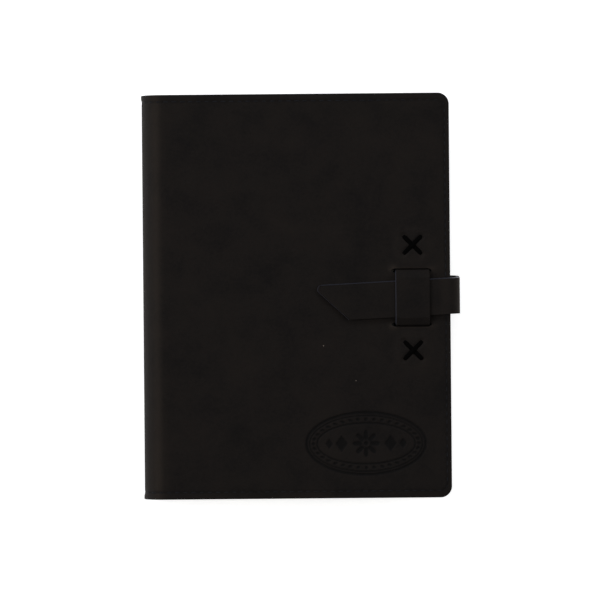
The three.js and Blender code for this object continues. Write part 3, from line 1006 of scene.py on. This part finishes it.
def pocket_half(sizes, front):
    """A pocket: sewn down on three sides and open to the spine, with a shallow thumb notch."""
    inset = sizes.trim
    rim = sizes.leather + sizes.lining + POCKET_GAP
    start = FORE - inset - sizes.pocket_width
    notch_depth, notch_width, notch_fade = 9 * MM, 11 * MM, 20 * MM
    fore = from_edge(FORE, inset / MM, 2.0, 3.0, 3.9, 4.2, 4.5, 4.8, 5.1, 6.0)
    head = from_edge(HALF_HEIGHT, inset / MM, 2.0, 3.0, 3.9, 4.2, 4.5, 4.8, 5.1, 6.0)
    columns = ladder(start, (start + notch_fade, 1.2 * MM), (fore[0], 5 * MM)) + fore[1:]
    rows = rows_between(head, (-22 * MM, 6 * MM), (22 * MM, 1.5 * MM), (head[0], 6 * MM))

    def face(extra):
        def point(u, v):
            along, y = round_corner(u, v, FORE - inset, HALF_HEIGHT - inset, sizes.corner - inset)
            notch = notch_depth * bell(y, notch_width)
            along += notch * (1 - smooth(along - start, 0, notch_fade))
            depth = pinched(sizes, along, y, sizes.pocket_depth, rim, front)
            return cover_point(along, y, depth + extra, front)

        return point

    name = "front_pocket_leather" if front else "back_pocket_leather"
    materials = [MATERIALS["suede"], MATERIALS["cover_edge"], MATERIALS["pocket"]]
    piece = plate(name, columns, rows, face(0), face(sizes.pocket), materials, 0.2 * MM)
    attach(piece, "front" if front else "back")
    return piece


# ---- stitching ----
def hem_stitches(sizes, front):
    """Separate stitches along half of the hem, on its outer and its inner face, from the middle of the
    spine round to it again."""
    high = HALF_HEIGHT - sizes.hem_inset
    fore = FORE - sizes.hem_fore_inset
    seam = Walk(
        bent_line([(-QUARTER, high), (fore, high), (fore, -high), (-QUARTER, -high)], sizes.hem_corner)
    )
    count = round(seam.length / (sizes.stitch + sizes.stitch_gap))
    pitch = seam.length / count
    draw = random.Random(5)
    shares = [i / 6 for i in range(7)]
    lining_face = sizes.leather + LAYER_GAP + sizes.lining
    pocket_face = sizes.leather + sizes.lining + POCKET_GAP + sizes.pocket
    end_depth = 0.2 * MM
    arch_height = 0.34 * MM
    flatness = 0.85
    pocket_start = FORE - sizes.trim - sizes.pocket_width
    pressed_in = 0.0 if front else 0.175 * MM  # the stitches under the back lie flush in their channel
    runs = []
    for k in list(range(count)) * 2:
        inside = len(runs) >= count
        size = sizes.stitch * draw.uniform(0.9, 1.06)
        sunk = draw.uniform(0.0, 0.12) * MM
        start = (k + 0.5) * pitch - size / 2
        run = []
        for share in shares:
            spot, heading = seam.at(start + share * size)
            out = cover_normal(spot.x, front)
            ahead = Vector((-out.z, 0, out.x)) * (-1 if front else 1)
            forward = ahead * -heading.x + Vector((0, heading.y, 0))
            across = forward.cross(out).normalized()
            arch = math.sin(math.pi * share) ** 0.55
            rise = arch_height * arch - end_depth - sunk
            half = sizes.thread / 2 * (0.7 + 0.3 * arch)
            if inside:
                depth = pocket_face if spot.x > pocket_start else lining_face
                centre = cover_point(spot.x, spot.y, depth + rise, front)
            else:
                centre = cover_point(spot.x, spot.y, sizes.hem_sink - rise + pressed_in, front)
            run.append((centre, across, out, half, half * flatness))
        runs.append(run)
    name = "front_hem_stitches" if front else "back_hem_stitches"
    piece = tubes(name, runs, [MATERIALS["thread"]])
    hinge_cover(piece, front)
    return piece


def lace_stroke(closure, centre, turn, crossing, out):
    """One stroke of a cross-stitch, out of one hole, over the leather and down the other."""
    arm = (closure.cross - closure.lace) / math.sqrt(2)
    low, level = -1.3 * MM, 0.02 * MM
    if crossing:
        high = level + closure.lace_thickness * 0.85
        climb_start, climb_end = -2.4 * MM, -1.1 * MM
        bends = [(-arm, low), (-arm, level), (climb_start, level), (climb_end, high)]
        bends += [(-x, z) for x, z in reversed(bends)]
    else:
        bends = [(-arm, low), (-arm, level), (arm, level), (arm, low)]
    path = Walk(bent_line(bends, 0.55 * MM))
    ahead = Vector((math.cos(turn), math.sin(turn), 0))
    side = Vector((-math.sin(turn), math.cos(turn), 0))
    run = []
    for distance in path.stations(0.6 * MM):
        spot, heading = path.at(distance)
        taper = 0.75 + 0.25 * smooth(arm - abs(spot.x), -0.2 * MM, 1.6 * MM)
        up = (UP * heading.x - ahead * heading.y) * out
        place = centre + ahead * spot.x + UP * spot.y * out
        run.append((place, side, up, closure.lace / 2 * taper, closure.lace_thickness / 2))
    return run


def cross_stitch(closure, node, name, body, out=1):
    """An X of flat lace. The stroke that rises to the right lies on top."""
    centre = middle_of(node)
    centre.z = TOP if out > 0 else BACK_LACE_SUNK
    under = lace_stroke(closure, centre, -math.pi / 4, False, out)
    over = lace_stroke(closure, centre, math.pi / 4, True, out)
    piece = tubes(name, [under, over], [MATERIALS["lace"]], sides=14)
    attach(piece, body)
    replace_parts(piece, node)


# ---- the keeper and the strap ----
def keeper_band(sizes, closure):
    """The band over the strap, down through the slits, with its thinned tongues under the leather."""
    half_strap = closure.width / 2
    leg = closure.slit_span / 2
    end = (KEEPER_HIGH.y - KEEPER_LOW.y) / 2
    gap = 0.1 * MM
    under = TOP - sizes.leather - gap - closure.tongue / 2
    crown = KEEPER_HIGH.z - closure.keeper / 2
    droop = 0.03 * MM
    rise = TOP + 0.9 * MM
    half_top = half_strap + 0.9 * MM
    right = [(half_top, crown - droop), (leg, rise), (leg, under), (end, under)]
    left = [(-x, z) for x, z in reversed(right)]
    path = Walk(bent_line([*left, (0, crown), *right], 0.8 * MM))
    half_width = (KEEPER_HIGH.x - KEEPER_LOW.x) / 2
    rows = ladder(-half_width, (-half_width + 1.2 * MM, 0.6 * MM), (half_width - 1.2 * MM, 2 * MM))
    rows += [half_width - 0.6 * MM, half_width]

    def face(side):
        def point(distance, across):
            spot, heading = path.at(distance)
            sunk = smooth(TOP - spot.y, 0.9 * MM, 1.5 * MM)
            thick = closure.keeper + (closure.tongue - closure.keeper) * sunk
            out = Vector((0, -heading.y, heading.x))
            sag = droop * (across / half_width) ** 2 if spot.y > TOP + 2 * MM else 0.0
            offset = side * thick / 2 - sag
            if side > 0:
                across += closure.skive * smooth(-across, half_width - 0.6 * MM, half_width)
            return Vector((KEEPER_MIDDLE.x + across, KEEPER_MIDDLE.y + spot.x, spot.y)) + out * offset

        return point

    materials = [MATERIALS["strap"], MATERIALS["edge"], MATERIALS["suede"]]
    piece = plate(
        "keeper_band",
        path.stations(0.7 * MM),
        rows,
        face(1),
        face(-1),
        materials,
        edge_round=0.26 * MM,
        rim_slot=0,
    )
    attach(piece, "front")
    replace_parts(piece, "strap_keeper")


class StrapPath:
    """The strap's middle line, from its root round the fore-edge to its tip, by the distance along it."""

    def __init__(self, closure):
        self.radius = closure.bend - closure.strap / 2
        self.start_x = STRAP_OUT_X - closure.bend
        self.quarter = self.radius * math.pi / 2
        self.low = STRAP_BOTTOM + closure.bend
        self.upright = STRAP_TOP - STRAP_BOTTOM - 2 * closure.bend
        self.high = self.low + self.upright
        self.flat = 2 * self.quarter + self.upright
        self.middle = self.flat / 2
        self.lean = math.tan(closure.tilt)
        self.keeper = self.flat + self.start_x - KEEPER_MIDDLE.x
        self.strap_y = closure.strap_y

    def at(self, s):
        """x, z and the heading's turn from +X at a distance s from the start of the lower bend."""
        if s <= 0:
            return self.start_x + s, self.low - self.radius, 0.0
        if s <= self.quarter:
            turn = s / self.radius
            centre = self.low
        elif s <= self.quarter + self.upright:
            return self.start_x + self.radius, self.low + s - self.quarter, math.pi / 2
        elif s <= self.flat:
            turn = math.pi / 2 + (s - self.quarter - self.upright) / self.radius
            centre = self.high
        else:
            return self.start_x - (s - self.flat), self.high + self.radius, math.pi
        return self.start_x + self.radius * math.sin(turn), centre - self.radius * math.cos(turn), turn

    def point(self, s, across, lift):
        """A point of the strap: across its width, and lifted out of its middle line."""
        x, z, turn = self.at(s)
        y = self.strap_y + self.lean * (self.keeper - s) + across
        return Vector((x + lift * math.sin(turn), y, z - lift * math.cos(turn)))


def strap_rows(closure):
    """Rows across the strap, close at its edges."""
    half = closure.width / 2
    upper = from_edge(half, 0.0, 0.45, 1.1, 2.1, 3.2, 4.3)
    return rows_between(upper, (upper[0], 2 * MM))


def unmarked(u, v):
    """No mark anywhere."""
    return 0.0


def strap_half(name, closure, columns, face, nodes, painted_highlight):
    """A length of the strap, in place of the given frame nodes."""
    materials = [MATERIALS["strap"], MATERIALS["edge"], MATERIALS["suede"]]
    piece = plate(
        name,
        columns,
        strap_rows(closure),
        face(1),
        face(-1),
        materials,
        edge_round=0.3 * MM,
        joined=True,
        marks={"pressed": unmarked, "painted_highlight": painted_highlight},
        rim_slot=0,
    )
    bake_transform(piece)
    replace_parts(piece, *nodes)


def strap_root(closure):
    """The lower half: the thinned root, the lower bend and half of the upright."""
    path = StrapPath(closure)

    def face(side):
        def point(s, across):
            thick = closure.tongue + (closure.strap - closure.tongue) * smooth(s, -0.5 * MM, 1.4 * MM)
            return path.point(s, across, side * thick / 2)

        return point

    columns = ladder(
        path.middle,
        (path.quarter, 1.6 * MM),
        (-0.5 * MM, 0.5 * MM),
        (-closure.tongue_length - 0.5 * MM, 3 * MM),
    )
    strap_half("strap_root", closure, columns, face, ["strap_anchor"], unmarked)


def strap_front(closure):
    """The upper half: the rest of the upright, the upper bend and the tail with its slanted tip."""
    path = StrapPath(closure)
    half = closure.width / 2
    length = path.flat + path.start_x - STRAP_TIP_X
    radius = closure.tip_radius
    centre = (1.15 * radius, half - radius)
    slant = closure.tip_angle
    leave = (centre[0] - radius * math.sin(slant), centre[1] - radius * math.cos(slant))
    free = 26 * MM
    last_row = 0.7 * MM
    tip_lift = 0.22 * MM

    def tip_inset(across):
        """How far the end is cut back at a height across the strap."""
        if across > leave[1]:
            rise = min(across - centre[1], radius)
            return centre[0] - math.sqrt(max(radius**2 - rise**2, 0))
        return leave[0] + (leave[1] - across) / math.tan(slant)

    def fitted(s, across):
        left = length - s
        if left >= free:
            return s
        inset = tip_inset(across)
        return length - inset - left * (free - inset) / free

    def face(side):
        def point(s, across):
            end = smooth(s, length - last_row, length)
            s = fitted(s, across)
            if side > 0:
                s -= 0.6 * closure.skive * end
                joint = smooth(s, path.middle, path.middle + 2 * MM)
                across -= closure.skive * joint * smooth(across, half - 0.45 * MM, half)
            lift = tip_lift * smooth(s, length - 34 * MM, length - 8 * MM) * smooth(-across, -4 * MM, half)
            return path.point(s, across, side * closure.strap / 2 + lift)

        return point

    columns = ladder(
        path.middle,
        (path.quarter + path.upright, 1.6 * MM),
        (path.flat, 0.45 * MM),
        (length - free, 2.2 * MM),
        (length - 2 * MM, 1.6 * MM),
        (length, last_row),
    )
    bend_start = path.quarter + path.upright

    def painted_highlight(s, across):
        """Painted highlight where the strap bends, and a second, narrower one where it leaves the bend."""
        bend = smooth(s, path.middle, bend_start) * smooth(-s, -path.flat, -bend_start)
        # Painted highlight just past the upper bend.
        crease = bell(s - path.flat - 3.4 * MM, 1.2 * MM)
        return min(bend + 0.5 * crease, 1.0)

    nodes = ["strap_bend", "strap_tail"]
    strap_half("strap_front", closure, columns, face, nodes, painted_highlight)


# ---- the notebook ----
def notebook_case(sizes, front):
    """Half of the hardback case: a cloth-covered board, with cloth on round the spine."""
    half = BOARD_HIGH.y
    fore = BOARD_HIGH.x - FLAT_X
    corner = 1.6 * MM
    depth = sizes.case_depth
    board = BOARD_HIGH.z - BOARD_LOW.z
    turn_in = 5 * MM
    groove_at, groove_depth = 5 * MM, 0.35 * MM
    ends = [corner / 2, 0.0]
    columns = ladder(
        -QUARTER,
        (-3 * MM, 1.0 * MM),
        (3 * MM, 0.6 * MM),
        (fore - turn_in, 8 * MM),
        (fore - corner, 2 * MM),
    )
    columns += [fore - end for end in ends]
    rows = [end - half for end in reversed(ends)]
    stretches = [(turn_in - half, 2 * MM), (half - turn_in, 8 * MM), (half - corner, 2 * MM)]
    rows += ladder(corner - half, *stretches)
    rows += [half - end for end in ends]

    def face(side):
        def point(u, v):
            along, y = round_corner(u, v, fore, half, corner)
            thick = SPINE_CLOTH + (board - SPINE_CLOTH) * smooth(along, -1 * MM, 1.5 * MM)
            groove = groove_depth * bell(along - groove_at, 1.6 * MM)
            return cover_point(along, y, depth + (thick if side else groove), front)

        return point

    materials = [MATERIALS["cloth"], MATERIALS["cloth"], MATERIALS["paper"]]
    name = "front_case" if front else "back_case"
    piece = plate(name, columns, rows, face(0), face(1), materials, 0.3 * MM, joined=True)
    for polygon in piece.data.polygons:
        past = max(polygon.center.x - FLAT_X - fore, abs(polygon.center.y) - half) > -turn_in
        if past and polygon.material_index == 2:
            polygon.material_index = 0
    hinge_cover(piece, front)
    return piece


def page_stack():
    """The pages, as thin bundles with slightly uneven edges and a rounded back."""
    draw = random.Random(11)
    count = 44
    gap = 0.04  # as a share of a bundle's thickness
    bow = 0.3 * MM
    uneven = 0.12 * MM
    thick = (PAGES_HIGH.z - PAGES_LOW.z) / count
    middle = (PAGES_HIGH.z + PAGES_LOW.z) / 2
    half = (PAGES_HIGH.z - PAGES_LOW.z) / 2
    back_radius = FLAT_X - PAGES_LOW.x
    bm = bmesh.new()
    for k in range(count):
        low = PAGES_LOW.z + thick * (k + gap)
        high = PAGES_LOW.z + thick * (k + 1 - gap)
        level = (low + high) / 2 - middle
        left = FLAT_X - math.sqrt(back_radius**2 - level**2)
        right = PAGES_HIGH.x - bow * (1 - (level / half) ** 2) - draw.uniform(0, uneven)
        head = PAGES_HIGH.y - draw.uniform(0, uneven)
        foot = PAGES_LOW.y + draw.uniform(0, uneven)
        corners = [(left, foot), (right, foot), (right, head), (left, head)]
        lower = [bm.verts.new((x, y, low)) for x, y in corners]
        upper = [bm.verts.new((x, y, high)) for x, y in corners]
        bm.faces.new(lower[::-1])
        top = bm.faces.new(upper)
        top.material_index = 1
        for a in range(4):
            b = (a + 1) % 4
            bm.faces.new([lower[a], lower[b], upper[b], upper[a]])
    mesh = bpy.data.meshes.new("page_stack")
    bm.to_mesh(mesh)
    bm.free()
    piece = add_object("page_stack", mesh, [MATERIALS["paper"], MATERIALS["ruled"]])
    for polygon in piece.data.polygons:
        polygon.use_smooth = False
    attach(piece, "back")
    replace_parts(piece, "notebook_pages")


# ---- stage ----
def add_light(name, spot, aim, size, power, tint=(1, 1, 1)):
    """A soft rectangular light that points at a spot."""
    data = bpy.data.lights.new(name, "AREA")
    data.shape = "RECTANGLE"
    data.size, data.size_y = size
    data.energy = power
    data.color = tint
    light = bpy.data.objects.new(name, data)
    bpy.context.scene.collection.objects.link(light)
    light.location = spot
    light.rotation_euler = (Vector(aim) - Vector(spot)).to_track_quat("-Z", "Y").to_euler()


def add_camera():
    """A long lens straight above the front cover, turned a little and aimed beside its middle."""
    distance = 2.2
    view_width = 315.6 * MM
    beside = (-0.7 * MM, -2.0 * MM)
    turn = math.radians(-0.5)
    data = bpy.data.cameras.new("Camera")
    data.sensor_width = 36
    data.lens = data.sensor_width * (distance - TOP) / view_width
    camera = bpy.data.objects.new("Camera", data)
    bpy.context.scene.collection.objects.link(camera)
    camera.location = (*beside, distance)
    camera.rotation_euler = (0, 0, turn)
    bpy.context.scene.camera = camera


def add_floor(finish):
    """A wide pale floor under the cover, lit from within like a light table."""
    half_size = 6
    just_under = 0.05 * MM
    bm = bmesh.new()
    bmesh.ops.create_grid(bm, x_segments=8, y_segments=8, size=half_size)
    mesh = bpy.data.meshes.new("floor")
    bm.to_mesh(mesh)
    bm.free()
    material, _, shader = new_material("Floor", finish.floor)
    shader.inputs["Base Color"].default_value = (*finish.floor, 1)
    shader.inputs["Roughness"].default_value = 0.9
    shader.inputs["Specular IOR Level"].default_value = 0.1
    shader.inputs["Emission Color"].default_value = (*finish.floor, 1)
    shader.inputs["Emission Strength"].default_value = 0.8
    floor = add_object("floor", mesh, [material])
    floor.location.z = -just_under


def add_world():
    """A pale, even surround."""
    world = bpy.data.worlds.new("World")
    world.use_nodes = True
    world.node_tree.nodes["Background"].inputs["Color"].default_value = (1, 1, 1, 1)
    world.node_tree.nodes["Background"].inputs["Strength"].default_value = 0.07
    bpy.context.scene.world = world


# ---- operators ----
class NOTEBOOK_OT_materials(bpy.types.Operator):
    """Makes the leather, thread, suede, cloth and paper"""

    bl_idname = "notebook.materials"
    bl_label = "Materials"

    def execute(self, context):
        make_materials(context.scene.cover_finish)
        for name in ("back_stiffener", "front_stiffener"):
            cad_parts[name].data.materials.clear()
            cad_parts[name].data.materials.append(MATERIALS["board"])
        return {"FINISHED"}


class NOTEBOOK_OT_cover_leather(bpy.types.Operator):
    """Makes the cover's one hide, as a back half and a front half that meet on the spine"""

    bl_idname = "notebook.cover_leather"
    bl_label = "Cover leather"

    def execute(self, context):
        scene = context.scene
        back = back_leather(scene.cover_sizes, scene.closure_sizes)
        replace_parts(back, "back_cover_leather", "spine_leather")
        front = front_leather(scene.cover_sizes, scene.closure_sizes, scene.ornament_sizes)
        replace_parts(front, "front_cover_leather")
        return {"FINISHED"}


class NOTEBOOK_OT_linings(bpy.types.Operator):
    """Makes the suede lining and the two pockets"""

    bl_idname = "notebook.linings"
    bl_label = "Lining and pockets"

    def execute(self, context):
        sizes = context.scene.cover_sizes
        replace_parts(lining_half(sizes, False), "back_lining", "spine_lining")
        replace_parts(lining_half(sizes, True), "front_lining")
        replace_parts(pocket_half(sizes, False), "back_pocket")
        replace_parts(pocket_half(sizes, True), "front_pocket")
        return {"FINISHED"}


class NOTEBOOK_OT_stitching(bpy.types.Operator):
    """Sews the hem and the cross-stitches"""

    bl_idname = "notebook.stitching"
    bl_label = "Stitching"

    def execute(self, context):
        sizes, closure = context.scene.cover_sizes, context.scene.closure_sizes
        back = hem_stitches(sizes, False)
        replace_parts(back, "back_stitching", "spine_foot_stitching", "spine_head_stitching")
        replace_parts(hem_stitches(sizes, True), "front_stitching")
        cross_stitch(closure, "upper_cross_stitch", "upper_lace_cross", "front")
        cross_stitch(closure, "lower_cross_stitch", "lower_lace_cross", "front")
        cross_stitch(closure, "back_cross_stitch", "back_lace_cross", "back", out=-1)
        return {"FINISHED"}


class NOTEBOOK_OT_closure(bpy.types.Operator):
    """Makes the keeper and the strap"""

    bl_idname = "notebook.closure"
    bl_label = "Strap and keeper"

    def execute(self, context):
        closure = context.scene.closure_sizes
        keeper_band(context.scene.cover_sizes, closure)
        strap_root(closure)
        strap_front(closure)
        return {"FINISHED"}


class NOTEBOOK_OT_notebook(bpy.types.Operator):
    """Makes the hardback notebook inside"""

    bl_idname = "notebook.notebook"
    bl_label = "Notebook"

    def execute(self, context):
        sizes = context.scene.cover_sizes
        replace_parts(notebook_case(sizes, False), "notebook_back_board", "notebook_spine")
        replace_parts(notebook_case(sizes, True), "notebook_front_board")
        page_stack()
        return {"FINISHED"}


class NOTEBOOK_OT_stage(bpy.types.Operator):
    """Sets the floor, the lights and the camera"""

    bl_idname = "notebook.stage"
    bl_label = "Stage"

    def execute(self, context):
        add_camera()
        add_world()
        add_floor(context.scene.cover_finish)
        middle = (0, 0, 0)
        cool = (0.86, 0.92, 1.0)
        add_light("Left softbox", (-1.1, 0.1, 0.75), middle, size=(0.7, 1.4), power=8.5)
        add_light("Right softbox", (1.15, 0.25, 0.8), middle, size=(0.6, 1.2), power=5)
        add_light("Head softbox", (-0.1, 1.2, 0.8), middle, size=(1.4, 0.5), power=6, tint=cool)
        add_light("Foot softbox", (0.1, -1.2, 0.8), middle, size=(1.4, 0.5), power=1.3)
        context.scene.view_settings.view_transform = "Standard"
        return {"FINISHED"}


OPERATORS = (
    NOTEBOOK_OT_materials,
    NOTEBOOK_OT_cover_leather,
    NOTEBOOK_OT_linings,
    NOTEBOOK_OT_stitching,
    NOTEBOOK_OT_closure,
    NOTEBOOK_OT_notebook,
    NOTEBOOK_OT_stage,
)


class NOTEBOOK_PT_build(bpy.types.Panel):
    """Lists the operators in the order that they are run"""

    bl_idname = "NOTEBOOK_PT_build"
    bl_label = "Notebook cover"
    bl_space_type = "VIEW_3D"
    bl_region_type = "UI"
    bl_category = "Notebook"

    def draw(self, context):
        for operator in OPERATORS:
            self.layout.operator(operator.bl_idname)


GROUPS = {
    "cover_sizes": CoverSizes,
    "closure_sizes": ClosureSizes,
    "ornament_sizes": OrnamentSizes,
    "cover_finish": CoverFinish,
}


def register():
    """Adds the sizes, the finishes, the operators and the panel."""
    for name, group in GROUPS.items():
        bpy.utils.register_class(group)
        setattr(bpy.types.Scene, name, PointerProperty(type=group))
    for operator in OPERATORS:
        bpy.utils.register_class(operator)
    bpy.utils.register_class(NOTEBOOK_PT_build)


def unregister():
    """Takes away what register added."""
    bpy.utils.unregister_class(NOTEBOOK_PT_build)
    for operator in reversed(OPERATORS):
        bpy.utils.unregister_class(operator)
    for name, group in GROUPS.items():
        delattr(bpy.types.Scene, name)
        bpy.utils.unregister_class(group)


def main():
    """Runs every operator in order."""
    register()
    for operator in OPERATORS:
        group, name = operator.bl_idname.split(".")
        getattr(getattr(bpy.ops, group), name)()


if __name__ == "__main__":
    main()
